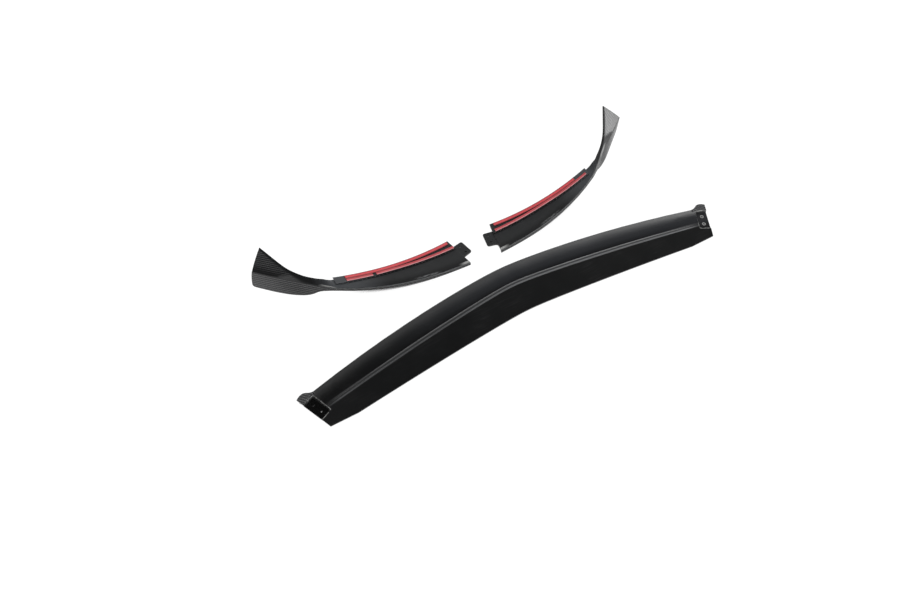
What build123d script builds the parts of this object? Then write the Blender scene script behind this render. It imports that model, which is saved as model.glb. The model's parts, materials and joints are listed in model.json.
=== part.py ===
"""Front splitter lip in three moulded sections, lying loose with the bumper side up.

Each section is drawn in its fitted attitude, with the blade level, the front towards -Y and Z up.
It is then leaned back until its rear meets the floor and laid in its own place: the centre with
its nose away from the viewer, the two corners with their fronts towards the viewer.
"""
import os
from math import atan2, cos, degrees, hypot, pi, radians, sin, tan

from build123d import *

# Moulding
SHELL = 2.8
LIP_HEIGHT = 9.0
CREASE_RADIUS = 4.5

# Centre section, plan
CENTRE_HALF = 555.0
NOSE_ROUND = 45.0
NOSE_Y = -135.2
FRONT_V = 32.7
FRONT_BOW = 53.3
REAR_NOTCH_Y = 3.0
REAR_V = 41.0
REAR_BOW = 11.5
REAR_TRIM_Y = 46.5

# Centre section, relief
REAR_DROP = 3.0
FRONT_CROWN = 3.0
FRONT_FALL = 1.0
FRONT_ROLL = 5.0
BEAD_Y = -76.5
BEAD_V = 55.5
BEAD_BOW = 23.0
BEAD_WIDTH = 12.0
BEAD_HEIGHT = 3.0
BEAD_SIDES = 6
BEAD_REACH = 535.0
BEAD_ROOT = 1.0
BEAD_FADE = 5
BEAD_TRACE = 0.1

# Centre section, ends
END_FRONT_X = 591.0
END_FRONT_Y = -45.5
END_ANGLE = 25.2
END_SPARE = 30.0
EAR_LENGTH = 42.0
EAR_DEPTH = 22.0
EAR_NECK = 9.0
EAR_TUCK = 3.0
EAR_FLARE = 8.5
EAR_RISE = 2.0
EAR_THICKNESS = 6.0
EAR_BEVEL = 1.0

# Screw joint between the sections, measured along the joint from its front corner
TAB_MIDDLE = 49.0
TAB_WIDTH = 43.0
TAB_LENGTH = 28.0
TAB_THICKNESS = 2.5
TAB_SINK = 1.0
TAB_ROOT = 12.0
TAB_ROUND = 5.0
HOLE_SPACING = 24.0
HOLE_INSET = 14.5
HOLE_DIAMETER = 5.5
POCKET_CLEARANCE = 4.0
POCKET_TAPER = 30.0
POCKET_CUT = 11.0
SEAT_GAP = 0.3

# Corner section, blade
BLADE_LENGTH = 337.0
FRONT_SWEEP = 73.6
FRONT_LEAD = 16.0
SWEEP_POWER = 2.6
BLADE_RISE = 30.5
JOINT_ANGLE = 10.9
REAR_EDGE_X = 120.0
REAR_EDGE_Y = 87.0
REAR_EDGE_RADIUS = 1000.0
FLANGE_OVERHANG = 6.0
FLANGE_STEP = 2.0
FLANGE_REACH = 332.0
FLANGE_MARGIN = 3.0

# Corner section, fin: each station's crease from the neck, then its top and bottom edge from the crease
FIN_STATIONS = {
    "neck": ((33.0, 28.0, -1.0), (-10.5, 5.5, 16.5), (1.0, -3.0, -16.5)),
    "step": ((63.5, 54.0, 2.0), (-22.0, -7.5, 16.5), (-3.5, -9.0, -39.5)),
    "heel": ((96.0, 73.5, 13.5), (-32.0, -10.0, 13.0), (-5.0, -9.0, -53.0)),
    "sweep": ((129.0, 91.0, 30.0), (-38.0, 0.5, 14.5), (-2.0, 1.5, -66.5)),
    "tip": ((164.0, 113.5, 45.0), (-40.0, 31.0, 36.5), (11.0, 16.0, -67.5)),
}
FIN_SPARE = 10.0
FIN_END_BOW = 5.0
FIN_END_ROUND = 9.0

# Tapes
OUTER_TAPE_WIDTH = 10.5
INNER_TAPE_WIDTH = 8.0
TAPE_EDGE_INSET = 1.0
TAPE_GAP_AT_JOINT = 12.5
TAPE_GAP = 0.6
TAPE_GAP_REACH = 190.0
TAPE_GAP_POWER = 1.3
ADHESIVE_FILM = 0.05
FOAM_THICKNESS = 1.1
LINER_THICKNESS = 0.2
# Start and end of each tape along the blade
TAPES = {
    "right": {"outer": (27.0, 288.0), "inner": (20.0, 324.0)},
    "left": {"outer": (22.0, 304.0), "inner": (14.0, 229.0), "short_inner": (238.0, 304.0)},
}

# Turn of the centre, then where each corner lies: its joint corner from the centre's middle and its turn
CENTRE_TURN = 180.0
CORNER_PLACES = {"right": (30.3, 179.4, 0.0), "left": (-58.0, 185.0, 0.7)}

# Share of a round's radius between its corner and the middle of its arc
ARC_MIDDLE = 1 - cos(radians(45))

# Loft stations and spare reach of cutting bodies
CENTRE_STEPS = 12
CENTRE_SPREAD = 1.4
BLADE_STEPS = 10
SLAB_SPARE_STEPS = 3
FIN_STEPS = 4
CURVE_STEPS = 6
REACH = 120.0
LONG_REACH = 2400.0


def soft_v(x):
    """Distance from the middle, rounded at the nose."""
    return hypot(x, NOSE_ROUND) - NOSE_ROUND


def plan_line(x, middle, v, bow):
    """Plan curve of a V nose with a bow, set back by v and bow at the half length."""
    return middle + v * soft_v(x) / soft_v(CENTRE_HALF) + bow * (x / CENTRE_HALF) ** 2


def front_line(x):
    """Front edge of the centre section."""
    return plan_line(x, NOSE_Y, FRONT_V, FRONT_BOW)


def rear_line(x):
    """Rear edge of the centre section, before its ends are trimmed."""
    return plan_line(x, REAR_NOTCH_Y, REAR_V, REAR_BOW)


def end_plane():
    """Joint plane at the centre's +X end: x along the cut to the rear, y into the section."""
    angle = radians(END_ANGLE)
    return Plane((END_FRONT_X, END_FRONT_Y, 0), (-sin(angle), cos(angle), 0), (0, 0, 1))


def joint_plane():
    """Joint plane of a corner section: x along the joint to the rear, y towards the centre."""
    angle = radians(JOINT_ANGLE)
    return Plane((0, 0, 0), (sin(angle), cos(angle), 0), (0, 0, 1))


def bead_line(x):
    """Middle of the bead, where the rear of the blade meets the front."""
    return plan_line(x, BEAD_Y, BEAD_V, BEAD_BOW)


def centre_section_line(x, sink, front_inset, foot):
    """Section line of the centre at x, sunk below the top and set in from the front edge."""
    bead = bead_line(x)
    half = BEAD_WIDTH / 2
    top = LIP_HEIGHT - sink
    front = front_line(x) + front_inset
    roll = FRONT_ROLL - front_inset
    shoulder = top - FRONT_FALL
    ridge = (bead - half + front + roll) / 2
    rear = rear_line(x)
    corner = roll * ARC_MIDDLE

    def at(y, z):
        return Vector(x, y, z)

    return [
        Line(at(rear, foot), at(rear, top - REAR_DROP)),
        Line(at(rear, top - REAR_DROP), at(bead + half, top)),
        Line(at(bead + half, top), at(bead - half, top)),
        ThreePointArc(at(bead - half, top), at(ridge, top + FRONT_CROWN), at(front + roll, shoulder)),
        ThreePointArc(
            at(front + roll, shoulder), at(front + corner, shoulder - corner), at(front, shoulder - roll)
        ),
        Line(at(front, shoulder - roll), at(front, foot)),
        Line(at(front, foot), at(rear, foot)),
    ]


def spread_places(reach):
    """Places from one end to the other, closer together at the nose."""
    half = [reach * (step / CENTRE_STEPS) ** CENTRE_SPREAD for step in range(CENTRE_STEPS + 1)]
    return [-x for x in reversed(half[1:])] + half


def centre_loft(sink, front_inset, foot):
    """Body under a section line along the whole centre."""
    places = spread_places(END_FRONT_X + END_SPARE)
    wires = [Wire(centre_section_line(x, sink, front_inset, foot)) for x in places]
    return Part() + Solid.make_loft(wires, ruled=True)


def bead():
    """Raised round bead, fading out towards both ends."""
    wires = []
    turns = [pi * side / BEAD_SIDES for side in range(BEAD_SIDES + 1)]
    for x in spread_places(BEAD_REACH):
        size = max(1 - abs(x / BEAD_REACH) ** BEAD_FADE, BEAD_TRACE)
        half = BEAD_WIDTH * size / 2
        root = LIP_HEIGHT - BEAD_ROOT
        rise = BEAD_ROOT + BEAD_HEIGHT * size
        outline = [(x, bead_line(x) + half * cos(turn), root + rise * sin(turn)) for turn in turns]
        wires.append(Wire.make_polygon(outline))
    return Part() + Solid.make_loft(wires, ruled=True)


def both_ends(shape):
    """A shape at the +X end and its mirror image."""
    return shape + mirror(shape, Plane.YZ)


def pocket_outline(spare):
    """Plan of the pocket that takes a corner section's tab, grown by spare, open at the end cut."""
    width = TAB_WIDTH + 2 * (POCKET_CLEARANCE + spare)
    depth = TAB_LENGTH + SEAT_GAP + spare
    block = Pos(TAB_MIDDLE, (depth - END_SPARE) / 2) * Rectangle(width, depth + END_SPARE)
    return fillet(block.vertices().sort_by(Axis.Y)[-2:], TAB_ROUND + spare)


def screw_holes(plane):
    """Two upright cylinders through a joint's screw holes."""
    drill = Cylinder(HOLE_DIAMETER / 2, REACH)
    places = (TAB_MIDDLE - HOLE_SPACING / 2, TAB_MIDDLE + HOLE_SPACING / 2)
    return plane * (Pos(places[0], HOLE_INSET) * drill + Pos(places[1], HOLE_INSET) * drill)


def ear():
    """Flared lug at the front of the +X end."""
    start = END_FRONT_X - EAR_LENGTH
    tuck = Vector(start, front_line(start) + EAR_TUCK)
    corner = Vector(END_FRONT_X, END_FRONT_Y)
    nose = Vector(END_FRONT_X - EAR_LENGTH / 2, END_FRONT_Y - EAR_FLARE)
    back = end_plane().from_local_coords(Vector(EAR_DEPTH, 0, 0))
    root = Vector(start, front_line(start) + EAR_NECK)
    outline = make_face(
        [
            Spline(tuck, nose, corner, tangents=((1, 0, 0), (1, 1, 0))),
            Line(corner, back),
            Spline(back, root, tangents=((-1, -1, 0), (-1, 0, 0))),
            Line(root, tuck),
        ]
    )
    top = LIP_HEIGHT + EAR_RISE
    lug = Pos(0, 0, top - EAR_THICKNESS) * extrude(outline, EAR_THICKNESS, dir=(0, 0, 1))
    rims = lug.faces().sort_by(Axis.Z)[-1].edges().filter_by(GeomType.BSPLINE)
    return chamfer(rims, EAR_BEVEL)


def centre_section():
    """Centre blade with its bead, rolled front lip, ears, pockets and screw holes."""
    plane = end_plane()
    seat = LIP_HEIGHT - TAB_SINK - TAB_THICKNESS - SEAT_GAP
    tray = plane * Pos(0, 0, seat - SHELL) * extrude(pocket_outline(SHELL), REACH)
    recess = plane * Pos(0, 0, seat) * extrude(pocket_outline(0), POCKET_CUT, taper=-POCKET_TAPER)
    waste = plane * Pos(0, -REACH / 2, 0) * Box(LONG_REACH, REACH, REACH)
    rear = Pos(0, REAR_TRIM_Y + REACH / 2, 0) * Box(LONG_REACH, REACH, REACH)
    blade = centre_loft(0, 0, 0) + bead() + both_ends(ear())
    hollow = centre_loft(SHELL, SHELL, -SHELL) - both_ends(tray)
    return blade - hollow - both_ends(recess + screw_holes(plane) + waste) - rear


def front_edge(x):
    """Front edge of a corner's blade in plan."""
    share = x / BLADE_LENGTH
    return FRONT_LEAD * share + (FRONT_SWEEP - FRONT_LEAD) * share**SWEEP_POWER


def rear_edge(x):
    """Rear edge of a corner's tape flange in plan."""
    return REAR_EDGE_Y + (x - REAR_EDGE_X) ** 2 / (2 * REAR_EDGE_RADIUS)


def blade_height(x):
    """Top of a corner's blade, level at the joint and rising to the neck."""
    return LIP_HEIGHT + BLADE_RISE * (x / BLADE_LENGTH) ** 2


def smooth_point(points, place):
    """Point on the smooth curve through evenly numbered points."""
    first = min(int(place), len(points) - 2)
    share = place - first
    before = points[max(first - 1, 0)]
    start = points[first]
    end = points[first + 1]
    after = points[min(first + 2, len(points) - 1)]
    eased = share * share * (3 - 2 * share)
    leaving = (end - before) / 2 * (share * (1 - share) ** 2)
    arriving = (after - start) / 2 * (share * share * (1 - share))
    return start * (1 - eased) + end * eased + leaving - arriving


def blade_station(step):
    """Top edge, crease and bottom edge at one step along the blade."""
    start = (rear_edge(0) - FLANGE_OVERHANG) * tan(radians(JOINT_ANGLE))
    x = BLADE_LENGTH * step / BLADE_STEPS
    back = start + (BLADE_LENGTH - start) * step / BLADE_STEPS
    top = Vector(back, rear_edge(back) - FLANGE_OVERHANG, blade_height(back))
    crease = Vector(x, front_edge(x), blade_height(x))
    return top, crease, crease - Vector(0, 0, LIP_HEIGHT)


def fin_station(name):
    """Top edge, crease and bottom edge of one fin station."""
    along, top, bottom = FIN_STATIONS[name]
    crease = blade_station(BLADE_STEPS)[1] + Vector(*along)
    return crease + Vector(*top), crease, crease + Vector(*bottom)


def corner_stations():
    """Top edge, crease and bottom edge at each station, from the joint to past the fin's end."""
    stations = [blade_station(step) for step in range(BLADE_STEPS + 1)]
    keys = stations[-2:] + [fin_station(name) for name in FIN_STATIONS]
    curves = list(zip(*keys))
    for step in range(1, len(FIN_STATIONS) * FIN_STEPS + 1):
        place = 1 + step / FIN_STEPS
        stations.append(tuple(smooth_point(curve, place) for curve in curves))
    onward = (stations[-1][1] - stations[-2][1]).normalized() * FIN_SPARE
    stations.append(tuple(point + onward for point in stations[-1]))
    return stations


def bent_section(top, crease, bottom):
    """Closed section of a shell that runs from its top edge over a rounded crease to its bottom."""
    up = (top - crease).normalized()
    down = (bottom - crease).normalized()
    bisector = (up + down).normalized()
    half = radians(up.get_angle(down)) / 2
    setback = CREASE_RADIUS / tan(half)
    centre = crease + bisector * (CREASE_RADIUS / sin(half))
    up_normal = (down - up * up.dot(down)).normalized()
    down_normal = (up - down * down.dot(up)).normalized()
    up_bend = crease + up * setback
    down_bend = crease + down * setback
    inner_radius = CREASE_RADIUS - SHELL
    return Wire(
        [
            Line(top, up_bend),
            ThreePointArc(up_bend, centre - bisector * CREASE_RADIUS, down_bend),
            Line(down_bend, bottom),
            Line(bottom, bottom + down_normal * SHELL),
            Line(bottom + down_normal * SHELL, down_bend + down_normal * SHELL),
            ThreePointArc(
                down_bend + down_normal * SHELL,
                centre - bisector * inner_radius,
                up_bend + up_normal * SHELL,
            ),
            Line(up_bend + up_normal * SHELL, top + up_normal * SHELL),
            Line(top + up_normal * SHELL, top),
        ]
    )


def blade_slab(low, high):
    """Layer between two heights above the rising top of a corner's blade, in the blade's own steps."""
    step = BLADE_LENGTH / BLADE_STEPS
    places = [step * number for number in range(-SLAB_SPARE_STEPS, BLADE_STEPS + SLAB_SPARE_STEPS + 1)]
    lower = [(x, -REACH, blade_height(x) + low) for x in places]
    upper = [(x, -REACH, blade_height(x) + high) for x in places]
    outline = Polyline(*lower, *reversed(upper), close=True)
    return extrude(make_face(outline), LONG_REACH, dir=(0, 1, 0))


def plan_curve(line, start, end, offset=0.0):
    """Smooth plan curve of a line, between two places along the blade."""
    places = [start + (end - start) * step / CURVE_STEPS for step in range(CURVE_STEPS + 1)]
    return Spline([Vector(x, line(x) + offset) for x in places])


def outer_tape_back(x):
    """Rear edge of the outer tape."""
    return rear_edge(x) - TAPE_EDGE_INSET


def inner_tape_back(x):
    """Rear edge of the inner tape, which drifts away from the outer one near the joint."""
    drift = max(1 - x / TAPE_GAP_REACH, 0) ** TAPE_GAP_POWER
    gap = TAPE_GAP + (TAPE_GAP_AT_JOINT - TAPE_GAP) * drift
    return outer_tape_back(x) - OUTER_TAPE_WIDTH - gap


def flange_front(x):
    """Front edge of the raised flange, just ahead of the inner tape."""
    return inner_tape_back(x) - INNER_TAPE_WIDTH - FLANGE_MARGIN


def strip(back, front, layer):
    """Solid between a rear and a front plan curve, cut to a layer of the blade."""
    sides = [Line(back @ 1, front @ 1), Line(front @ 0, back @ 0)]
    return extrude(make_face([back, front] + sides), REACH, dir=(0, 0, 1)) & layer


def tape_flange():
    """Raised flange along the rear of the blade, cut to the joint line and at its outer end."""
    lean = tan(radians(JOINT_ANGLE))
    back = plan_curve(rear_edge, rear_edge(0) * lean, FLANGE_REACH)
    front = plan_curve(flange_front, flange_front(0) * lean, FLANGE_REACH)
    return strip(back, front, blade_slab(FLANGE_STEP - SHELL, FLANGE_STEP))


def tab():
    """Screw tab that reaches from the blade into the centre's pocket."""
    outline = Pos(TAB_MIDDLE, (TAB_LENGTH - TAB_ROOT) / 2) * Rectangle(TAB_WIDTH, TAB_LENGTH + TAB_ROOT)
    outline = fillet(outline.vertices().sort_by(Axis.Y)[-2:], TAB_ROUND)
    lowest = LIP_HEIGHT - TAB_SINK - TAB_THICKNESS
    return joint_plane() * Pos(0, 0, lowest) * extrude(outline, TAB_THICKNESS)


def fin_trim():
    """Body past the fin's bowed end and its rounded lower corner, to cut away."""
    top, crease, bottom = fin_station("tip")
    inner_crease, inner_bottom = fin_station("sweep")[1:]
    chord = top - bottom
    side = (crease - inner_crease).cross(chord)
    plane = Plane(bottom, chord.cross(side), side)
    height = chord.length
    middle = Vector(FIN_END_BOW, height / 2)
    bow = ThreePointArc((0, 0), middle, (0, height))
    under = plane.to_local_coords(inner_bottom)
    low = Vector(under.X, under.Y).normalized() * FIN_END_ROUND
    high = bow @ (FIN_END_ROUND / bow.length)
    outline = [
        ThreePointArc(low, (low + high) * ARC_MIDDLE, high),
        ThreePointArc(high, middle, (0, height)),
        Polyline(
            (0, height), (0, height + REACH), (REACH, height + REACH), (REACH, -REACH), (low.X, -REACH), low
        ),
    ]
    return plane * extrude(make_face(outline), REACH, both=True)


def corner_section():
    """Corner shell: blade, neck and fin in one loft, with its tape flange and screw tab."""
    wires = [bent_section(*station) for station in corner_stations()]
    shell = Part() + Solid.make_loft(wires, ruled=True) - fin_trim()
    return shell + tape_flange() + tab() - screw_holes(joint_plane())


def tape(name, ends):
    """Foam strip and its liner on a corner's flange."""
    back = outer_tape_back if name == "outer" else inner_tape_back
    width = OUTER_TAPE_WIDTH if name == "outer" else INNER_TAPE_WIDTH
    edges = plan_curve(back, *ends), plan_curve(back, *ends, offset=-width)
    foam_base = FLANGE_STEP + ADHESIVE_FILM
    liner_base = foam_base + FOAM_THICKNESS + ADHESIVE_FILM
    foam = strip(*edges, blade_slab(foam_base, foam_base + FOAM_THICKNESS))
    liner = strip(*edges, blade_slab(liner_base, liner_base + LINER_THICKNESS))
    return foam, liner


def lay_centre(shape):
    """Lean the centre back onto its rear edge and turn its nose away from the viewer."""
    lift = LIP_HEIGHT - REAR_DROP - SHELL
    depth = REAR_TRIM_Y - front_line(END_FRONT_X) - SHELL
    leaned = shape.rotate(Axis.X, -degrees(atan2(lift, depth)))
    return leaned.rotate(Axis.Z, CENTRE_TURN)


def lay_corner(shape):
    """Lean a corner back about its joint corner and heel until its tab meets the floor."""
    heel = fin_station("heel")[2]
    axis = Vector(heel.X, heel.Y).normalized()
    tip = joint_plane().from_local_coords(Vector(TAB_MIDDLE + TAB_WIDTH / 2, TAB_LENGTH, 0))
    reach = axis.X * tip.Y - axis.Y * tip.X
    lift = LIP_HEIGHT - TAB_SINK - TAB_THICKNESS
    return shape.rotate(Axis((0, 0, 0), axis), -degrees(atan2(lift, reach)))


def lip():
    """All pieces by name, laid out on the floor."""
    pieces = {"centre_section": lay_centre(centre_section())}
    corner = lay_corner(corner_section())
    for side, tapes in TAPES.items():
        across, back, turn = CORNER_PLACES[side]
        set_down = Pos(across, back, -corner.bounding_box().min.Z) * Rot(0, 0, turn)
        group = {f"{side}_corner_section": corner}
        for name, ends in tapes.items():
            foam, liner = tape(name, ends)
            group[f"{side}_{name}_tape_foam"] = lay_corner(foam)
            group[f"{side}_{name}_tape_liner"] = lay_corner(liner)
        for name, shape in group.items():
            pieces[name] = set_down * (mirror(shape, Plane.YZ) if side == "left" else shape)
    centre = pieces["centre_section"]
    pieces["centre_section"] = Pos(0, 0, -centre.bounding_box().min.Z) * centre
    return pieces


def main():
    """Write one file per piece, with the origin under the middle of the whole set."""
    pieces = lip()
    box = Compound(list(pieces.values())).bounding_box()
    shift = Pos(-(box.min.X + box.max.X) / 2, -(box.min.Y + box.max.Y) / 2, -box.min.Z)
    os.makedirs("parts", exist_ok=True)
    for name, shape in pieces.items():
        export_step(shift * shape, f"parts/{name}.step")


main()
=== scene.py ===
import json
import math

import bpy
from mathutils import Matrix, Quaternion, Vector


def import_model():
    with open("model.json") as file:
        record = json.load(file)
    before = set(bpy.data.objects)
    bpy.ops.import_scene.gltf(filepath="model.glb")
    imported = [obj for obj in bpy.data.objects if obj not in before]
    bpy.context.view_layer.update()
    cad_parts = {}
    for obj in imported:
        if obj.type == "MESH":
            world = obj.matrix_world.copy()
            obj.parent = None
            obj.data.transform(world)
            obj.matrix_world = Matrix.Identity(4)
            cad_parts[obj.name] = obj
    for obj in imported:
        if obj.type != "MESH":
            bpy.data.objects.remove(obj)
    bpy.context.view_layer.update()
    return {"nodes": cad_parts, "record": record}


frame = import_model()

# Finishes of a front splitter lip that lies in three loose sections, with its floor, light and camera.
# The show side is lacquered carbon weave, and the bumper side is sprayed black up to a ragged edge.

MM = 0.001

# Screw holes seen from each section's own zero, mm
POCKET_HOLES = Vector((0.0, -7.3, 5.2))
TAB_HOLES = Vector((-5.0, 50.9, 5.5))

# Turn of each section in degrees, and the side of a corner
CENTRE_TURN = 180.0
CORNERS = {"right": (0.0, 1), "left": (0.7, -1)}

# Plan lines of the centre section, mm: the nose, its V and its bow at the half length
CENTRE_HALF = 555.0
NOSE_ROUND = 45.0
FRONT_LINE = (-135.2, 32.7, 53.3)
BEAD_LINE = (-76.5, 55.5, 23.0)
BEAD_REACH = 548.0

# Ends of the centre section, mm and degrees, with each pocket and its holes from the end's front corner
EAR_START = 549.0
EAR_DEPTH = 22.0
END_FRONT = (591.0, -45.5)
END_ANGLE = 25.2
POCKET_MIDDLE = 49.0
POCKET_HALF = 25.5
POCKET_DEPTH = 28.3
POCKET_ROUND = 8.0
HOLE_SPACING = 24.0
HOLE_INSET = 14.5

# Plan lines of a corner section, mm: its front edge, then the middle, depth and radius of its rear edge
BLADE_LENGTH = 337.0
FRONT_LEAD = 16.0
FRONT_SWEEP = 57.6
SWEEP_POWER = 2.6
REAR_EDGE = (120.0, 87.0, 1000.0)

# Tapes, mm. Their gap has a least width, then what it grows by, from where and with which power
TAPE_INSET = 1.0
OUTER_TAPE_WIDTH = 10.5
INNER_TAPE_WIDTH = 8.0
TAPE_GAP = (0.6, 11.9, 190.0, 1.3)

# Top edge of a fin in plan, mm: where it starts, then its straight and its cubic part
FIN_TOP = (359.5, 108.1, 0.60, 4.8e-5)

# Crease of a fin, mm: where it starts to rise, its height there and its slope, then its bend in plan
FIN_CREASE = (398.0, 39.5, 0.433)
FIN_FRONT = (0.87, -0.0011)

# The marks below are in mm. A span goes from where a mark starts to where it is full, and a band has
# two borders and their softness. A share is how much of a mark shows.

# Bare front edge, chips, and painted sheen of the centre section, along it and in from its front edge
CENTRE_EDGE_WIDTH = 2.0
CENTRE_EDGE_WOBBLE = 4.0
CHIPS_ALONG = (230.0, 420.0, 40.0)
CHIPS_IN = (4.0, 2.0)
SHEEN_ALONG = (500.0, -100.0)
SHEEN_IN = (62.0, 40.0)
SHEEN_FRONT_IN = (6.0, 28.0)
SHEEN_FRONT_SHARE = (0.35, 1.0)

# Painted highlights across the bead, which fade towards its ends and are brightest on one side
BEAD_TOP = (-5.0, 6.4, 0.9)
BEAD_TOP_SHARE = 0.4
BEAD_FRONT = (-5.2, -2.6, 0.9)
BEAD_FRONT_SHARE = 0.65
BEAD_REAR = (3.0, 6.8, 0.9)
BEAD_FADE = 60.0
BEAD_BRIGHT_ALONG = (250.0, -100.0)
BEAD_UPPER_SHARE = (0.62, 1.0)
BEAD_REAR_SHARE = (0.32, 0.95)

# Ends of the centre: bare ear, painted shade in the pocket, highlight on its rim, light round the lit
# end's holes
EAR_ROOT_SOFT = 2.0
EAR_EDGE_SOFT = 1.0
POCKET_FLOOR = (1.2, 0.4)
POCKET_RIM = (1.6, 3.4, 0.5)
LIT_END_ALONG = (1.0, -1.0)
HOLE_LIGHT_RADII = (5.8, 3.6)
LIT_END_POCKET_SHARE = (1.0, 0.3)

# Zones along a corner section: its fin, the end of its paint, its gloss, its neck and its crease
FIN_START = (BLADE_LENGTH + 4.0, BLADE_LENGTH + 14.0)
PAINT_END = (BLADE_LENGTH + 88.0, BLADE_LENGTH + 46.0)
GLOSS_START = (BLADE_LENGTH + 60.0, BLADE_LENGTH + 120.0)
NECK_START = (200.0, 310.0)
NECK_END = (BLADE_LENGTH + 50.0, BLADE_LENGTH + 5.0)
CREASE_START = (FIN_CREASE[0] - 25.0, FIN_CREASE[0] + 25.0)

# Front edge of a corner section: its bare weave, then painted highlights: pale line, streak, joint end
# and glint
CORNER_EDGE_WIDTH = 2.4
CORNER_EDGE_WOBBLE = 3.4
EDGE_LINE_IN = (0.4, 2.8, 0.8)
EDGE_LINE_END = (BLADE_LENGTH + 30.0, BLADE_LENGTH)
EDGE_LINE_SHARE = (0.45, 1.0)
STREAK_AT = {"right": 165.0, "left": 115.0}
STREAK_HALF = 28.0
STREAK_SOFT = 12.0
STREAK_IN = (4.0, 9.0, 2.0)
END_HIGHLIGHT_ALONG = (32.0, 8.0)
END_HIGHLIGHT_IN = (2.5, 9.0, 1.0)
GLINT_AT = {"right": 410.0, "left": 352.0}
GLINT_HALF = 12.0
GLINT_SOFT = 8.0
GLINT_IN = (2.0, 4.5, 1.2)

# Shades of a corner section: in from its front edge, above its crease, and below the top of its fin
FRONT_SHADE_IN = (30.0, 8.0)
FRONT_SHADE_SHARE = 0.7
CREASE_STEP = (-1.0, 1.0)
CREASE_SHADE = (22.0, 2.0)
CREASE_SHADE_SHARE = 0.9
FIN_RIM = (12.0, 5.0)

# Liners, in from the rear edge: rear shade, painted crown highlight, seam, inner tape and its painted
# front highlight
REAR_SHADE = (2.4, 1.0)
CROWN_HIGHLIGHT_BAND = (2.8, OUTER_TAPE_WIDTH - 3.2, 1.4)
CROWN_HIGHLIGHT_SHARE = (0.5, 1.0)
SEAM = (OUTER_TAPE_WIDTH - 1.4, OUTER_TAPE_WIDTH + 1.4, 0.7)
SEAM_SHARE = 0.7
INNER_START = (OUTER_TAPE_WIDTH, OUTER_TAPE_WIDTH + 0.5)
INNER_SHARE = 0.35
FRONT_HIGHLIGHT_IN = (3.2, 1.6)
FRONT_HIGHLIGHT_SHARE = 0.85

# Weave: width of a tow in mm, steps of its twill, and the shape and the gleam of its tows
TOW_WIDTH = 2.0
TWILL_REPEAT = 4.0
WARP_STEPS = 1.5
TOW_BASE = 0.5
CROWN_POWER = 4.0
WEFT_GLEAM = 0.04
WARP_GLEAM = 0.24

# Patterns: waves per mm, and the values between which they start to show
PATTERN_MIDDLE = 0.5
CLOUD_SCALE = 0.012
CLOUD_STEP = (0.42, 0.75)
CLOUD_DULLING = 0.10
SCUFF_SCALE = (0.02, 0.35, 0.35)
SCUFF_STEP = (0.45, 0.8)
SCUFF_POLISH = 0.05
DUST_SCALE = 0.45
DUST_STEP = (0.74, 0.84)
GRAIN_SCALE = 0.8
WANDER_SCALE = 0.03
WANDER_SHARE = 2.0
FRAY_SCALE = 0.25
FRAY_STEP = (0.4, -0.4)
RIM_BREAK_SCALE = 0.09
RIM_BREAK_STEP = (0.35, 0.6)
CHIP_SCALE = 0.30
CHIP_STEP = (0.60, 0.66)
FLECK_SCALE = (0.08, 0.5, 0.5)
STREAK_FLECKS = (0.35, 0.6)
EDGE_LINE_FLECKS = (0.3, 0.6)
END_HIGHLIGHT_FLECKS = (0.25, 0.45)
FILM_CLOUD_SCALE = 0.035
FILM_CLOUD_STEP = (0.35, 0.8)
FILM_CREASE_SCALE = 0.16
FOAM_CELLS_PER_M = 2200.0

# Relief of the finishes, and the rounding of their edges in mm
PAINT_RELIEF = {"Strength": 0.25, "Distance": 0.06 * MM}
FOAM_RELIEF = {"Strength": 0.5, "Distance": 0.2 * MM}
FILM_RELIEF = {"Strength": 0.3, "Distance": 0.4 * MM}
EDGE_ROUND = 0.8
EDGE_SAMPLES = 6

# Roughness, specular level and coat of the finishes
CENTRE_ROUGHNESS = 0.26
CENTRE_SPECULAR = 0.26
POCKET_ROUGHNESS = 0.12
CORNER_ROUGHNESS = 0.36
CORNER_SPECULAR = 0.17
FRONT_SHADE_ROUGHNESS = 0.75
LACQUER_ROUGHNESS = 0.35
LACQUER_COAT = 1.0
SKIRT_ROUGHNESS = 0.7
SKIRT_COAT = 0.45
COAT_ROUGHNESS = 0.2
FOAM_ROUGHNESS = 0.9
FOAM_SPECULAR = 0.2
FILM_ROUGHNESS = (0.28, 0.5)
FILM_SPECULAR = 0.35

# Mouldings: upward part of a normal where a side turns into the upper face, the angle in degrees above
# which an edge stays sharp, and the distance at which points are one, mm
FACING_UP = (0.25, 0.6)
SHARP_ANGLE = 25.0
WELD_DISTANCE = 0.01

# Colours, linear
WEAVE_DARK = (0.003, 0.003, 0.0034, 1)
WEAVE_LIGHT = (0.250, 0.254, 0.260, 1)
PAINT_BLACK = (0.0032, 0.0034, 0.0036, 1)
PAINT_SCUFFED = (0.020, 0.0205, 0.021, 1)
# Painted sheen of the centre's front zone: a paler grey in place of the light it reflects
FRONT_SHEEN_GREY = (0.0205, 0.0218, 0.0245, 1)
CORNER_BLACK = (0.0055, 0.0062, 0.0070, 1)
CORNER_SCUFFED = (0.024, 0.025, 0.026, 1)
# Paler grey towards a corner blade's neck
CORNER_NECK_GREY = (0.046, 0.049, 0.053, 1)
RIM_HIGHLIGHT_GREY = (0.22, 0.22, 0.215, 1)
# Painted highlights on the bead: its top and front flank, and its rear flank
BEAD_HIGHLIGHT_GREY = (0.105, 0.107, 0.110, 1)
BEAD_REAR_HIGHLIGHT_GREY = (0.17, 0.173, 0.178, 1)
# Painted highlights along a corner's front edge
EDGE_HIGHLIGHT_GREY = (0.12, 0.123, 0.125, 1)
# Painted shade in the pockets
POCKET_SHADE = (0.0015, 0.0015, 0.0015, 1)
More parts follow.
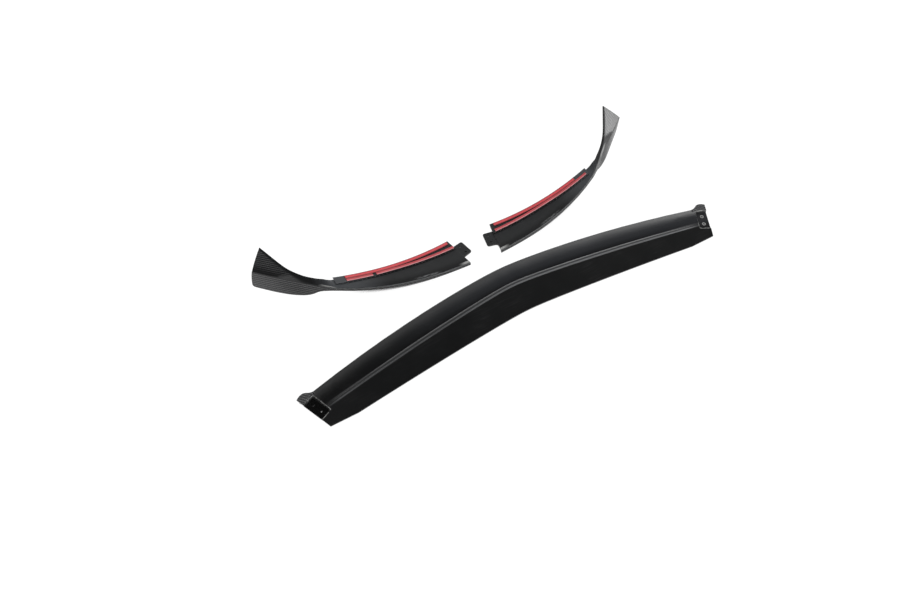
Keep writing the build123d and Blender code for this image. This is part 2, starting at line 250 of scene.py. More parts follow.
# Pale grey of painted glints and highlights, and of the painted light round the holes
PAINTED_LIGHT_GREY = (0.31, 0.31, 0.305, 1)
FOAM_DARK = (0.012, 0.012, 0.013, 1)
FOAM_LIGHT = (0.040, 0.040, 0.042, 1)
LINER_RED = (0.38, 0.017, 0.027, 1)
LINER_PALE = (0.47, 0.048, 0.060, 1)
# Painted highlights on a liner's front edge and on its crown
LINER_EDGE_HIGHLIGHT = (0.62, 0.27, 0.28, 1)
LINER_CROWN_HIGHLIGHT = (0.66, 0.045, 0.058, 1)
LINER_SHADE = (0.13, 0.006, 0.008, 1)
FLOOR_WHITE = (0.92, 0.92, 0.92, 1)
LIGHT_WHITE = (1, 1, 1, 1)

# Floor: its size in m and its drop in mm, then the reach in mm and the openness over which it darkens
FLOOR_SIZE = 30
FLOOR_DROP = 0.2
SHADE_REACH = 60.0
SHADE_SAMPLES = 32
SHADE_OPENNESS = (0.28, 0.44)
GLOW_STRENGTH = 1.12
GLOW_SHARE = 0.85

# Studio walls: height of the pale horizon, then the turn in degrees, the spread and the light behind
HORIZON = (0.30, 0.0)
BACK_WALL_TURN = 65.0
BACK_WALL_SPREAD = (0.42, 0.82)
BACK_WALL_LIGHT = 1.8
OVERHEAD_LIGHT = 0.08
SEEN_LIGHT = 1.0

# Soft lights: place and size in m, and power in W
SOFTBOXES = {
    "left_top_softbox": ((-2.0, 0.5, 2.0), (3.0, 3.0), 45.0),
    "right_softbox": ((2.2, -0.7, 0.95), (0.8, 1.0), 15.0),
    "front_softbox": ((0.95, -1.8, 1.25), (2.0, 1.6), 18.0),
    "back_right_softbox": ((1.9, 1.65, 0.85), (1.6, 1.4), 18.5),
    "back_softbox": ((0.44, 2.5, 0.5), (3.0, 0.6), 12.0),
}

# Camera: place in m, angles in degrees, lens and sensor in mm
CAMERA_PLACE = (-0.5554, -0.8353, 1.3978)
CAMERA_PITCH = 31.3
CAMERA_TURN = -29.0
CAMERA_LENS = 25.83
CAMERA_SENSOR = 36.0


class Graph:
    """Short hand for writing one tree of shader nodes."""

    def __init__(self, tree):
        self.tree = tree

    def add(self, kind, inputs=None, **settings):
        """A new node with its settings, and its inputs as values or links."""
        node = self.tree.nodes.new(kind)
        for name, value in settings.items():
            setattr(node, name, value)
        for key, value in (inputs or {}).items():
            self.put(node.inputs[key], value)
        return node

    def put(self, socket, value):
        """Link a socket to another, or set its value."""
        if isinstance(value, bpy.types.NodeSocket):
            self.tree.links.new(value, socket)
        else:
            socket.default_value = value

    def math(self, operation, first, second=0.0, clamp=False):
        """Result of one operation on numbers."""
        node = self.add("ShaderNodeMath", {0: first, 1: second}, operation=operation, use_clamp=clamp)
        return node.outputs[0]

    def times(self, first, *others):
        """Product of masks and numbers."""
        for other in others:
            first = self.math("MULTIPLY", first, other)
        return first

    def blend(self, share, first, second):
        """Number that goes from first to second."""
        node = self.add("ShaderNodeMix", {0: share, 2: first, 3: second}, data_type="FLOAT")
        return node.outputs[0]

    def tint(self, share, first, second):
        """Colour that goes from first to second."""
        node = self.add("ShaderNodeMix", {0: share, 6: first, 7: second}, data_type="RGBA")
        return node.outputs[2]

    def ramp(self, value, low, high):
        """Smooth step from 0 at low to 1 at high."""
        node = self.add(
            "ShaderNodeMapRange",
            {0: value, 1: low, 2: high},
            interpolation_type="SMOOTHSTEP",
        )
        return node.outputs[0]

    def between(self, value, low, high, soft):
        """Mask that is 1 from low to high, with soft borders."""
        rise = self.ramp(value, low - soft, low + soft)
        fall = self.ramp(value, high + soft, high - soft)
        return self.times(rise, fall)

    def noise(self, place, scale, detail=2.0, rough=0.5):
        """Cloudy value from 0 to 1, with its scale in waves per mm."""
        node = self.add(
            "ShaderNodeTexNoise",
            {"Vector": place, "Scale": scale, "Detail": detail, "Roughness": rough},
        )
        return node.outputs["Fac"]

    def stretched(self, place, scale):
        """Place with its own scale on each axis."""
        node = self.add("ShaderNodeVectorMath", {0: place, 1: scale}, operation="MULTIPLY")
        return node.outputs[0]

    def parts(self, place):
        """X, Y and Z of a vector."""
        return self.add("ShaderNodeSeparateXYZ", {0: place}).outputs

    def group(self, name, inputs):
        """Outputs of a shared effect that has its own inputs."""
        return self.add("ShaderNodeGroup", inputs, node_tree=GROUPS[name]).outputs

    def surface(self, inputs):
        """Surface of a material."""
        shader = self.add("ShaderNodeBsdfPrincipled", inputs)
        self.add("ShaderNodeOutputMaterial", {"Surface": shader.outputs[0]})


def new_group(name, inputs, outputs):
    """Empty node group with named sockets, its graph, its inputs and its outputs."""
    tree = bpy.data.node_groups.new(name, "ShaderNodeTree")
    for socket, kind in inputs:
        tree.interface.new_socket(socket, in_out="INPUT", socket_type="NodeSocket" + kind)
    for socket, kind in outputs:
        tree.interface.new_socket(socket, in_out="OUTPUT", socket_type="NodeSocket" + kind)
    graph = Graph(tree)
    entry = graph.add("NodeGroupInput").outputs
    leave = graph.add("NodeGroupOutput").inputs
    return tree, graph, entry, leave


def carbon_weave():
    """Two-by-two twill: its colour, and the height of its tows."""
    tree, graph, entry, leave = new_group(
        "carbon_weave",
        [("Place", "Vector"), ("Tow", "Float"), ("Dark", "Color"), ("Light", "Color")],
        [("Color", "Color"), ("Height", "Float")],
    )
    axes = graph.parts(entry["Place"])
    across = graph.math("DIVIDE", axes["X"], entry["Tow"])
    along = graph.math("DIVIDE", graph.math("ADD", axes["Y"], axes["Z"]), entry["Tow"])
    column = graph.math("FLOOR", across)
    row = graph.math("FLOOR", along)
    step = graph.math("FLOORED_MODULO", graph.math("ADD", column, row), TWILL_REPEAT)
    warp = graph.math("LESS_THAN", step, WARP_STEPS)
    warp_crown = graph.math("SINE", graph.times(graph.math("FRACT", across), math.pi))
    weft_crown = graph.math("SINE", graph.times(graph.math("FRACT", along), math.pi))
    warp_run = graph.math("FLOORED_MODULO", graph.math("ADD", column, along), TWILL_REPEAT)
    weft_run = graph.math("FLOORED_MODULO", graph.math("ADD", across, row), TWILL_REPEAT)
    warp_arch = graph.math("SINE", graph.times(warp_run, math.tau / TWILL_REPEAT))
    weft_arch = graph.math("SINE", graph.times(weft_run, -math.tau / TWILL_REPEAT))
    crown = graph.blend(warp, weft_crown, warp_crown)
    arch = graph.math("ABSOLUTE", graph.blend(warp, weft_arch, warp_arch))
    height = graph.times(crown, graph.math("ADD", arch, TOW_BASE))
    gleam = graph.blend(warp, WEFT_GLEAM, WARP_GLEAM)
    lit = graph.times(graph.math("POWER", height, CROWN_POWER), gleam)
    graph.put(leave["Color"], graph.tint(lit, entry["Dark"], entry["Light"]))
    graph.put(leave["Height"], height)
    return tree


def sprayed_black():
    """Sprayed paint: cloudy black with rubbed streaks and pale specks of dust."""
    tree, graph, entry, leave = new_group(
        "sprayed_black",
        [("Place", "Vector"), ("Black", "Color"), ("Scuffed", "Color"), ("Roughness", "Float")],
        [("Color", "Color"), ("Roughness", "Float"), ("Height", "Float")],
    )
    place = entry["Place"]
    cloud = graph.noise(place, CLOUD_SCALE, detail=4.0, rough=0.6)
    scuff = graph.noise(graph.stretched(place, SCUFF_SCALE), 1.0, detail=3.0, rough=0.6)
    patchy = graph.times(graph.ramp(cloud, *CLOUD_STEP), graph.ramp(scuff, *SCUFF_STEP))
    dust = graph.ramp(graph.noise(place, DUST_SCALE, rough=0.7), *DUST_STEP)
    wear_and_light = graph.math("ADD", patchy, dust, clamp=True)
    graph.put(leave["Color"], graph.tint(wear_and_light, entry["Black"], entry["Scuffed"]))
    dulled = graph.math("ADD", entry["Roughness"], graph.times(cloud, CLOUD_DULLING))
    polished = graph.math("SUBTRACT", dulled, graph.times(patchy, SCUFF_POLISH))
    graph.put(leave["Roughness"], polished)
    graph.put(leave["Height"], graph.noise(place, GRAIN_SCALE))
    return tree


def ragged_edge():
    """Mask that ends at a distance with a hand-sprayed, ragged line."""
    tree, graph, entry, leave = new_group(
        "ragged_edge",
        [("Place", "Vector"), ("Distance", "Float"), ("Width", "Float"), ("Wobble", "Float")],
        [("Mask", "Float")],
    )
    slow_noise = graph.noise(entry["Place"], WANDER_SCALE, detail=3.0, rough=0.7)
    fast_noise = graph.noise(entry["Place"], FRAY_SCALE)
    slow = graph.math("SUBTRACT", slow_noise, PATTERN_MIDDLE)
    fast = graph.math("SUBTRACT", fast_noise, PATTERN_MIDDLE)
    wander = graph.math("ADD", graph.times(slow, WANDER_SHARE), fast)
    edge = graph.math("ADD", entry["Width"], graph.times(wander, entry["Wobble"]))
    past = graph.math("SUBTRACT", entry["Distance"], edge)
    graph.put(leave["Mask"], graph.ramp(past, *FRAY_STEP))
    return tree


def section_place(graph, mounts, holes, turn, side):
    """Place on a section in its own fitted attitude, in mm, found from its screw holes."""
    found = [m for m in frame["record"]["mounts"] if m["name"] in mounts]
    middle = sum((Vector(m["pos_m"]) for m in found), Vector()) / len(found)
    tilt = Vector((0, 0, 1)).rotation_difference(Vector(found[0]["axis"]))
    whole = tilt @ Quaternion((0, 0, 1), math.radians(turn))
    reach = Vector((side * holes.x, holes.y, holes.z)) * MM
    node = graph.add(
        "ShaderNodeMapping",
        {
            "Vector": graph.add("ShaderNodeTexCoord").outputs["Object"],
            "Location": middle - whole @ reach,
            "Rotation": whole.to_euler(),
            "Scale": (side * MM, MM, MM),
        },
        vector_type="TEXTURE",
    )
    return node.outputs[0]


def centre_place(graph):
    """Place on the centre section."""
    mounts = ("centre_left_pocket_holes", "centre_right_pocket_holes")
    return section_place(graph, mounts, POCKET_HOLES, CENTRE_TURN, 1)


def corner_place(graph, name):
    """Place on a corner section, where the left one counts as the right one's mirror image."""
    turn, side = CORNERS[name]
    return section_place(graph, (name + "_tab_holes",), TAB_HOLES, turn, side)


def plan_line(graph, x, line):
    """Y of a rounded V line with a bow at x, on the centre section."""
    middle, v_depth, bow = line
    soft_half = math.hypot(CENTRE_HALF, NOSE_ROUND) - NOSE_ROUND
    square = graph.times(x, x)
    hypotenuse = graph.math("SQRT", graph.math("ADD", square, NOSE_ROUND**2))
    soft = graph.math("SUBTRACT", hypotenuse, NOSE_ROUND)
    v_part = graph.times(soft, v_depth / soft_half)
    bow_part = graph.times(square, bow / CENTRE_HALF**2)
    return graph.math("ADD", graph.math("ADD", v_part, bow_part), middle)


def corner_front(graph, x):
    """Y of a corner section's front edge at x."""
    slope, bend = FIN_FRONT
    share = graph.math("DIVIDE", x, BLADE_LENGTH, clamp=True)
    lead = graph.times(share, FRONT_LEAD)
    sweep = graph.times(graph.math("POWER", share, SWEEP_POWER), FRONT_SWEEP)
    past = graph.math("MAXIMUM", graph.math("SUBTRACT", x, BLADE_LENGTH), 0.0)
    fin = graph.times(past, graph.math("ADD", graph.times(past, bend), slope))
    return graph.math("ADD", graph.math("ADD", lead, sweep), fin)


def facing_up(graph):
    """Share of a surface that faces up, 0 on the sides and underneath."""
    normal = graph.add("ShaderNodeNewGeometry").outputs["Normal"]
    return graph.ramp(graph.parts(normal)["Z"], *FACING_UP)


def new_material(name):
    """Material with an empty surface, and its graph."""
    material = bpy.data.materials.new(name)
    material.use_nodes = True
    material.node_tree.nodes.clear()
    return material, Graph(material.node_tree)


def bare_edge(graph, place, from_front, width, wobble):
    """Mask of the bare weave along a front edge, up to the paint's ragged line."""
    return graph.group(
        "ragged_edge",
        {"Place": place, "Distance": from_front, "Width": width, "Wobble": wobble},
    )["Mask"]


def lacquered_paint(graph, place, twill, painted, paint_look, lacquer_look, patch, marks):
    """Surface of black paint where painted is 1 and of lacquered weave elsewhere, with marks on both."""
    black, scuffed, roughness, specular = paint_look
    lacquer_roughness, coat = lacquer_look
    patch_mask, patch_roughness = patch
    weave = graph.group(
        "carbon_weave",
        {
            "Place": graph.stretched(place, (twill, 1, 1)),
            "Tow": TOW_WIDTH,
            "Dark": WEAVE_DARK,
            "Light": WEAVE_LIGHT,
        },
    )
    paint = graph.group(
        "sprayed_black",
        {"Place": place, "Black": black, "Scuffed": scuffed, "Roughness": roughness},
    )
    height = graph.blend(painted, weave["Height"], paint["Height"])
    worn_edge = graph.add("ShaderNodeBevel", {"Radius": EDGE_ROUND * MM}, samples=EDGE_SAMPLES)
    bump = graph.add(
        "ShaderNodeBump",
        {"Height": height, "Normal": worn_edge.outputs[0], **PAINT_RELIEF},
    )
    rough = graph.blend(painted, lacquer_roughness, paint["Roughness"])
    colour = graph.tint(painted, weave["Color"], paint["Color"])
    for mask, mark in marks:
        colour = graph.tint(mask, colour, mark)
    graph.surface(
        {
            "Base Color": colour,
            "Roughness": graph.blend(patch_mask, rough, patch_roughness),
            "Specular IOR Level": specular,
            "Coat Weight": graph.times(graph.math("SUBTRACT", 1.0, painted), coat),
            "Coat Roughness": COAT_ROUGHNESS,
            "Normal": bump.outputs["Normal"],
        }
    )


def end_marks(graph, place):
    """Masks at both ends of the centre: the bare ear, painted shade in the pocket, a painted highlight
    on its rim and painted light round its holes at the lit end.
    """
    axes = graph.parts(place)
    angle = math.radians(END_ANGLE)
    out = graph.math("SUBTRACT", graph.math("ABSOLUTE", axes["X"]), END_FRONT[0])
    back = graph.math("SUBTRACT", axes["Y"], END_FRONT[1])
    along_out = graph.times(out, -math.sin(angle))
    along = graph.math("ADD", along_out, graph.times(back, math.cos(angle)))
    inward_out = graph.times(out, -math.cos(angle))
    inward = graph.math("ADD", inward_out, graph.times(back, -math.sin(angle)))
    from_middle = graph.math("ABSOLUTE", graph.math("SUBTRACT", along, POCKET_MIDDLE))
    side = graph.math("SUBTRACT", from_middle, POCKET_HALF)
    depth = graph.math("SUBTRACT", inward, POCKET_DEPTH)
    outside = graph.math("SMOOTH_MAX", side, depth)
    outside.node.inputs[2].default_value = POCKET_ROUND
    root = EAR_START - END_FRONT[0]
    ear = graph.times(
        graph.ramp(out, root - EAR_ROOT_SOFT, root + EAR_ROOT_SOFT),
        graph.ramp(along, EAR_DEPTH + EAR_EDGE_SOFT, EAR_DEPTH - EAR_EDGE_SOFT),
    )
    # At the lit end the pocket takes less painted shade, and its holes a painted light of the floor seen
    # through them
    lit_end = graph.ramp(axes["X"], *LIT_END_ALONG)
    pocket_share = graph.blend(lit_end, *LIT_END_POCKET_SHARE)
    # Painted shade in the pocket's recess
    pocket = graph.times(graph.ramp(outside, *POCKET_FLOOR), pocket_share)
    # Painted highlight along the pocket's rim, broken into patches
    patchy = graph.ramp(graph.noise(place, RIM_BREAK_SCALE), *RIM_BREAK_STEP)
    rim_highlight = graph.times(graph.between(outside, *POCKET_RIM), patchy)
    # Painted light round the holes, at the lit end only
    hole_side = graph.math("ABSOLUTE", graph.math("SUBTRACT", from_middle, HOLE_SPACING / 2))
    hole_in = graph.math("ABSOLUTE", graph.math("SUBTRACT", inward, HOLE_INSET))
    squares = graph.math("ADD", graph.times(hole_side, hole_side), graph.times(hole_in, hole_in))
    wear_and_light = graph.times(graph.ramp(graph.math("SQRT", squares), *HOLE_LIGHT_RADII), lit_end)
    return ear, pocket, rim_highlight, wear_and_light


def bead_highlights(graph, axes):
    """Masks of the painted highlights on the bead: its top and front flank, then its rear flank."""
    from_bead = graph.math("SUBTRACT", axes["Y"], plan_line(graph, axes["X"], BEAD_LINE))
    reach = graph.ramp(graph.math("ABSOLUTE", axes["X"]), BEAD_REACH, BEAD_REACH - BEAD_FADE)
    top = graph.times(graph.between(from_bead, *BEAD_TOP), BEAD_TOP_SHARE)
    front = graph.times(graph.between(from_bead, *BEAD_FRONT), BEAD_FRONT_SHARE)
    rear = graph.between(from_bead, *BEAD_REAR)
    bright_side = graph.ramp(axes["X"], *BEAD_BRIGHT_ALONG)
    upper_share = graph.times(graph.blend(bright_side, *BEAD_UPPER_SHARE), reach)
    rear_share = graph.times(graph.blend(bright_side, *BEAD_REAR_SHARE), reach)
    upper = graph.math("MAXIMUM", top, front)
    return graph.times(upper, upper_share), graph.times(rear, rear_share)


def centre_finish():
    """Satin black bumper side, with lacquered ears and front edge, and painted shade in the pocket at
    each end.
    """
    material, graph = new_material("centre_black_paint_on_carbon")
    place = centre_place(graph)
    axes = graph.parts(place)
    from_front = graph.math("SUBTRACT", axes["Y"], plan_line(graph, axes["X"], FRONT_LINE))
    edge = bare_edge(graph, place, from_front, CENTRE_EDGE_WIDTH, CENTRE_EDGE_WOBBLE)
    ear, pocket, rim_highlight, wear_and_light = end_marks(graph, place)
    bare = graph.math("MAXIMUM", edge, ear)
    painted = graph.times(facing_up(graph), graph.math("SUBTRACT", 1.0, bare))
    # Painted sheen: paler grey in the front zone of the centre, strongest towards one end, standing in
    # for reflected light
    front_sheen = graph.times(
        graph.ramp(from_front, *SHEEN_IN),
        graph.ramp(axes["X"], *SHEEN_ALONG),
        graph.blend(graph.ramp(from_front, *SHEEN_FRONT_IN), *SHEEN_FRONT_SHARE),
    )
    # Chips in the paint along the front edge, painted pale as glints of the bare lacquer
    chip_glints = graph.times(
        graph.between(axes["X"], *CHIPS_ALONG),
        graph.ramp(graph.noise(place, CHIP_SCALE), *CHIP_STEP),
        graph.ramp(from_front, *CHIPS_IN),
    )
    # Painted highlights along the bead
    bead_upper_highlight, bead_rear_highlight = bead_highlights(graph, axes)
    marks = [
        (front_sheen, FRONT_SHEEN_GREY),
        (bead_upper_highlight, BEAD_HIGHLIGHT_GREY),
        (bead_rear_highlight, BEAD_REAR_HIGHLIGHT_GREY),
        (chip_glints, PAINTED_LIGHT_GREY),
        # Painted shade in the pocket, painted highlight on its rim and painted light round the holes
        (pocket, POCKET_SHADE),
        (rim_highlight, RIM_HIGHLIGHT_GREY),
        (wear_and_light, PAINTED_LIGHT_GREY),
    ]
    paint_look = (PAINT_BLACK, PAINT_SCUFFED, CENTRE_ROUGHNESS, CENTRE_SPECULAR)
    lacquer_look = (LACQUER_ROUGHNESS, LACQUER_COAT)
    patch = (pocket, POCKET_ROUGHNESS)
    lacquered_paint(graph, place, 1, painted, paint_look, lacquer_look, patch, marks)
    return material


def fin_rim(graph, axes):
    """Mask of the dark strip along a fin's top edge, which takes the blade's black finish."""
    start, depth, straight, cubic = FIN_TOP
    along = graph.math("SUBTRACT", axes["X"], start)
    bend = graph.times(graph.math("POWER", graph.math("MAXIMUM", along, 0.0), 3.0), cubic)
    line = graph.math("ADD", graph.math("ADD", graph.times(along, straight), bend), depth)
    return graph.ramp(graph.math("SUBTRACT", line, axes["Y"]), *FIN_RIM)


def above_crease(graph, axes):
    """Height above the crease that runs from a corner's front edge into its fin."""
    start, low, slope = FIN_CREASE
    along = graph.math("MAXIMUM", graph.math("SUBTRACT", axes["X"], start), 0.0)
    return graph.math("SUBTRACT", axes["Z"], graph.math("ADD", graph.times(along, slope), low))


def front_marks(graph, name, place, along, from_front, up):
    """Masks of painted highlights along a corner's front edge: its pale line and streak, its joint end
    and its glint.
    """
    flecks = graph.noise(graph.stretched(place, FLECK_SCALE), 1.0, detail=3.0)
    streak_at = STREAK_AT[name]
    glint_at = GLINT_AT[name]
    streak = graph.times(
        graph.between(along, streak_at - STREAK_HALF, streak_at + STREAK_HALF, STREAK_SOFT),
        up,
        graph.between(from_front, *STREAK_IN),
        graph.ramp(flecks, *STREAK_FLECKS),
    )
    edge_line = graph.times(
        graph.between(from_front, *EDGE_LINE_IN),
        up,
        graph.ramp(along, *EDGE_LINE_END),
        graph.blend(graph.ramp(flecks, *EDGE_LINE_FLECKS), *EDGE_LINE_SHARE),
    )
    end_highlight = graph.times(
        graph.ramp(along, *END_HIGHLIGHT_ALONG),
        up,
        graph.between(from_front, *END_HIGHLIGHT_IN),
        graph.ramp(flecks, *END_HIGHLIGHT_FLECKS),
    )
    glint = graph.times(
        graph.between(along, glint_at - GLINT_HALF, glint_at + GLINT_HALF, GLINT_SOFT),
        graph.between(from_front, *GLINT_IN),
    )
    return graph.math("MAXIMUM", streak, edge_line), end_highlight, glint


def corner_finish(name):
    """Matt black blade with a lacquered weave fin and front edge."""
    material, graph = new_material(name + "_black_paint_on_carbon")
    place = corner_place(graph, name)
    axes = graph.parts(place)
    from_front = graph.math("SUBTRACT", axes["Y"], corner_front(graph, axes["X"]))
    edge = bare_edge(graph, place, from_front, CORNER_EDGE_WIDTH, CORNER_EDGE_WOBBLE)
    over_crease = above_crease(graph, axes)
    fin = graph.ramp(axes["X"], *FIN_START)
    fin_panel = graph.times(graph.ramp(over_crease, *CREASE_STEP), fin)
    up = graph.math("MAXIMUM", facing_up(graph), fin_panel)
    blade = graph.ramp(axes["X"], *PAINT_END)
    sprayed = graph.math("MAXIMUM", blade, fin_rim(graph, axes))
    painted = graph.times(up, sprayed, graph.math("SUBTRACT", 1.0, edge))
    front_shade = graph.times(graph.ramp(from_front, *FRONT_SHADE_IN), painted)
    crease_shade = graph.times(
        graph.ramp(over_crease, *CREASE_SHADE),
        fin_panel,
        graph.ramp(axes["X"], *CREASE_START),
        CREASE_SHADE_SHARE,
    )
    # The blade turns a paler grey towards its neck
    neck = graph.times(
        graph.ramp(axes["X"], *NECK_START),
        painted,
        graph.ramp(axes["X"], *NECK_END),
    )
    # Painted highlights along the front edge: a pale line, a streak, a patch at the joint end and a
    # glint
    pale, end_highlight, glint = front_marks(graph, name, place, axes["X"], from_front, up)
    marks = [
        (crease_shade, WEAVE_DARK),
        (graph.times(front_shade, FRONT_SHADE_SHARE), PAINT_BLACK),
        (neck, CORNER_NECK_GREY),
        (pale, EDGE_HIGHLIGHT_GREY),
        (end_highlight, PAINTED_LIGHT_GREY),
        (glint, PAINTED_LIGHT_GREY),
    ]
    gloss = graph.times(up, graph.ramp(axes["X"], *GLOSS_START))
    paint_look = (CORNER_BLACK, CORNER_SCUFFED, CORNER_ROUGHNESS, CORNER_SPECULAR)
    lacquer_look = (
        graph.blend(up, SKIRT_ROUGHNESS, LACQUER_ROUGHNESS),
        graph.blend(gloss, SKIRT_COAT, LACQUER_COAT),
    )
    patch = (front_shade, FRONT_SHADE_ROUGHNESS)
    lacquered_paint(graph, place, -1, painted, paint_look, lacquer_look, patch, marks)
    return material


def foam_finish():
    """Dark closed-cell foam."""
    material, graph = new_material("tape_foam_cells")
    source = graph.add("ShaderNodeTexCoord").outputs["Object"]
    foam = graph.add("ShaderNodeTexVoronoi", {"Vector": source, "Scale": FOAM_CELLS_PER_M})
    cells = foam.outputs["Distance"]
    bump = graph.add("ShaderNodeBump", {"Height": cells, **FOAM_RELIEF})
    graph.surface(
        {
            "Base Color": graph.tint(cells, FOAM_DARK, FOAM_LIGHT),
            "Roughness": FOAM_ROUGHNESS,
            "Specular IOR Level": FOAM_SPECULAR,
            "Normal": bump.outputs["Normal"],
        }
    )
    return material


def tape_edges(graph, x):
    """Y of the outer tape's rear edge and of the inner tape's front edge, at x on a corner."""
    middle, depth, radius = REAR_EDGE
    gap, drift, reach, power = TAPE_GAP
    off = graph.math("SUBTRACT", x, middle)
    bend = graph.times(off, off, 0.5 / radius)
    rear = graph.math("ADD", bend, depth - TAPE_INSET)
    share = graph.math("MAXIMUM", graph.math("SUBTRACT", 1.0, graph.math("DIVIDE", x, reach)), 0.0)
    spread = graph.times(graph.math("POWER", share, power), drift)
    both = graph.math("ADD", spread, OUTER_TAPE_WIDTH + gap + INNER_TAPE_WIDTH)
    return rear, graph.math("SUBTRACT", rear, both)


def liner_finish(name):
    """Red release film with faint creases, painted shade at its rear edge and seam, and painted
    highlights on its crown and front edge.
    """
    material, graph = new_material(name + "_tape_liner_red_film")
    place = corner_place(graph, name)
    axes = graph.parts(place)
    rear, front = tape_edges(graph, axes["X"])
    from_rear = graph.math("SUBTRACT", rear, axes["Y"])
    inner = graph.times(graph.ramp(from_rear, *INNER_START), INNER_SHARE)
    # Painted highlight along the inner tape's front edge
    front_highlight = graph.ramp(graph.math("SUBTRACT", axes["Y"], front), *FRONT_HIGHLIGHT_IN)
    crown = graph.between(from_rear, *CROWN_HIGHLIGHT_BAND)
    seam = graph.between(from_rear, *SEAM)
    shaded = graph.math("MAXIMUM", graph.ramp(from_rear, *REAR_SHADE), seam)
    cloud = graph.noise(place, FILM_CLOUD_SCALE, detail=3.0, rough=0.6)
    crease = graph.noise(place, FILM_CREASE_SCALE, detail=3.0, rough=0.6)
    pale = graph.math("ADD", graph.ramp(cloud, *FILM_CLOUD_STEP), inner, clamp=True)
    # Painted highlight on the crown of the outer tape
    crown_highlight = graph.times(crown, graph.blend(cloud, *CROWN_HIGHLIGHT_SHARE))
    colour = graph.tint(pale, LINER_RED, LINER_PALE)
    colour = graph.tint(crown_highlight, colour, LINER_CROWN_HIGHLIGHT)
    colour = graph.tint(graph.times(shaded, SEAM_SHARE), colour, LINER_SHADE)
    colour = graph.tint(graph.times(front_highlight, FRONT_HIGHLIGHT_SHARE), colour, LINER_EDGE_HIGHLIGHT)
    bump = graph.add("ShaderNodeBump", {"Height": crease, **FILM_RELIEF})
    graph.surface(
        {
            "Base Color": colour,
            "Roughness": graph.blend(crease, *FILM_ROUGHNESS),
            "Specular IOR Level": FILM_SPECULAR,
            "Normal": bump.outputs["Normal"],
        }
    )
    return material


def soften(piece):
    """Shade a moulding smoothly over all but its true edges."""
    piece.data.shade_smooth()
    weld = piece.modifiers.new("weld", "WELD")
    weld.merge_threshold = WELD_DISTANCE * MM
    split = piece.modifiers.new("split", "EDGE_SPLIT")
    split.split_angle = math.radians(SHARP_ANGLE)
    split.use_edge_sharp = False
    piece.modifiers.new("normals", "WEIGHTED_NORMAL")


def dress(material, nodes):
    """Give CAD pieces their finish."""
    for name in nodes:
        piece = frame["nodes"][name]
        soften(piece)
        piece.data.materials.clear()
        piece.data.materials.append(material)


def floor():
    """White floor that the camera and the gloss see as white, darker only where little light gets in."""
    material, graph = new_material("floor_white")
    path = graph.add("ShaderNodeLightPath").outputs
    seen = graph.math("MAXIMUM", path["Is Camera Ray"], path["Is Glossy Ray"])
    seen = graph.math("MAXIMUM", seen, path["Is Transmission Ray"])
    matt = graph.add("ShaderNodeBsdfDiffuse", {"Color": FLOOR_WHITE})
    reach = {"Distance": SHADE_REACH * MM}
    shade = graph.add("ShaderNodeAmbientOcclusion", reach, samples=SHADE_SAMPLES)
    strength = graph.times(graph.ramp(shade.outputs["AO"], *SHADE_OPENNESS), GLOW_STRENGTH)
    glow = graph.add("ShaderNodeEmission", {"Color": LIGHT_WHITE, "Strength": strength})
    share = graph.times(seen, GLOW_SHARE)
    surface = graph.add("ShaderNodeMixShader", {0: share, 1: matt.outputs[0], 2: glow.outputs[0]})
    graph.add("ShaderNodeOutputMaterial", {"Surface": surface.outputs[0]})
    bpy.ops.mesh.primitive_plane_add(size=FLOOR_SIZE, location=(0, 0, -FLOOR_DROP * MM))
    plane = bpy.context.object
    plane.name = "floor"
    plane.data.materials.append(material)


def softbox(name, place, size, power):
    """Rectangular area light aimed at the middle of the set."""
    data = bpy.data.lights.new(name, "AREA")
    data.shape = "RECTANGLE"
    data.size, data.size_y = size
    data.energy = power
    lamp = bpy.data.objects.new(name, data)
    lamp.location = place
    lamp.rotation_euler = (-Vector(place)).to_track_quat("-Z", "Y").to_euler()
    bpy.context.scene.collection.objects.link(lamp)


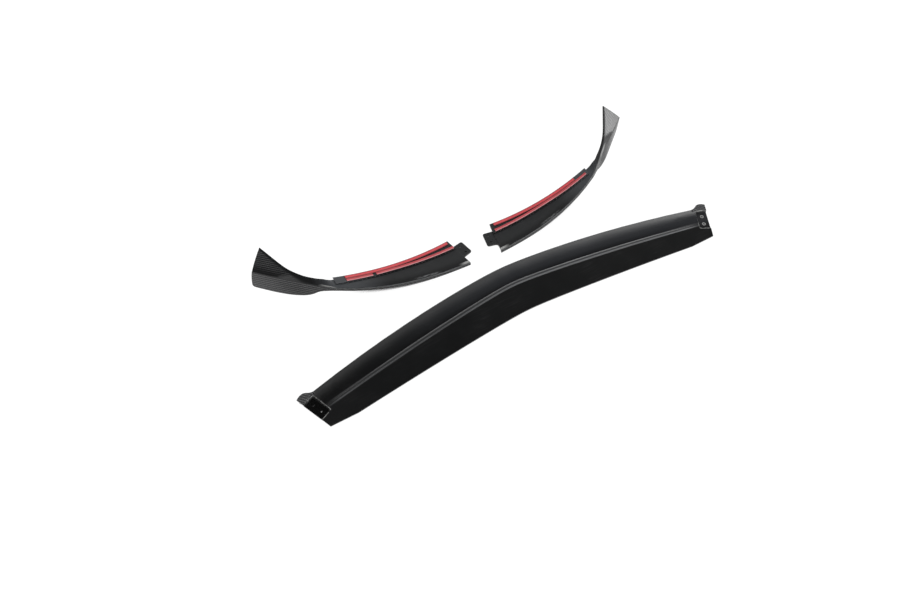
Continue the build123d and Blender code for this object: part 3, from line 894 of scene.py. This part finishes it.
def world():
    """Studio walls: pale at the horizon, paler behind and dark overhead."""
    studio = bpy.data.worlds.new("studio")
    bpy.context.scene.world = studio
    studio.use_nodes = True
    studio.node_tree.nodes.clear()
    graph = Graph(studio.node_tree)
    direction = graph.add("ShaderNodeTexCoord").outputs["Generated"]
    horizon = graph.ramp(graph.parts(direction)["Z"], *HORIZON)
    turn = math.radians(BACK_WALL_TURN)
    back_axis = (math.cos(turn), math.sin(turn), 0.0)
    facing = graph.add("ShaderNodeVectorMath", {0: direction, 1: back_axis}, operation="DOT_PRODUCT")
    back_wall = graph.times(graph.ramp(facing.outputs["Value"], *BACK_WALL_SPREAD), BACK_WALL_LIGHT)
    pale = graph.math("ADD", graph.math("MAXIMUM", horizon, back_wall), OVERHEAD_LIGHT)
    seen = graph.add("ShaderNodeLightPath").outputs["Is Camera Ray"]
    strength = graph.blend(seen, pale, SEEN_LIGHT)
    background = graph.add("ShaderNodeBackground", {"Color": LIGHT_WHITE, "Strength": strength})
    graph.add("ShaderNodeOutputWorld", {"Surface": background.outputs[0]})


def camera():
    """Camera at the height, turn and lens of the picture."""
    data = bpy.data.cameras.new("camera")
    data.lens = CAMERA_LENS
    data.sensor_width = CAMERA_SENSOR
    eye = bpy.data.objects.new("camera", data)
    eye.location = CAMERA_PLACE
    eye.rotation_euler = (math.radians(CAMERA_PITCH), 0, math.radians(CAMERA_TURN))
    bpy.context.scene.collection.objects.link(eye)
    bpy.context.scene.camera = eye


GROUPS = {
    "carbon_weave": carbon_weave(),
    "sprayed_black": sprayed_black(),
    "ragged_edge": ragged_edge(),
}

nodes = list(frame["nodes"])
dress(centre_finish(), ["centre_section"])
for corner_name in CORNERS:
    dress(corner_finish(corner_name), [corner_name + "_corner_section"])
dress(foam_finish(), [n for n in nodes if n.endswith("_foam")])
for corner_name in CORNERS:
    liners = [n for n in nodes if n.startswith(corner_name) and n.endswith("_liner")]
    dress(liner_finish(corner_name), liners)

floor()
world()
for box_name, (box_place, box_size, box_power) in SOFTBOXES.items():
    softbox(box_name, box_place, box_size, box_power)
camera()
bpy.context.scene.view_settings.view_transform = "Standard"
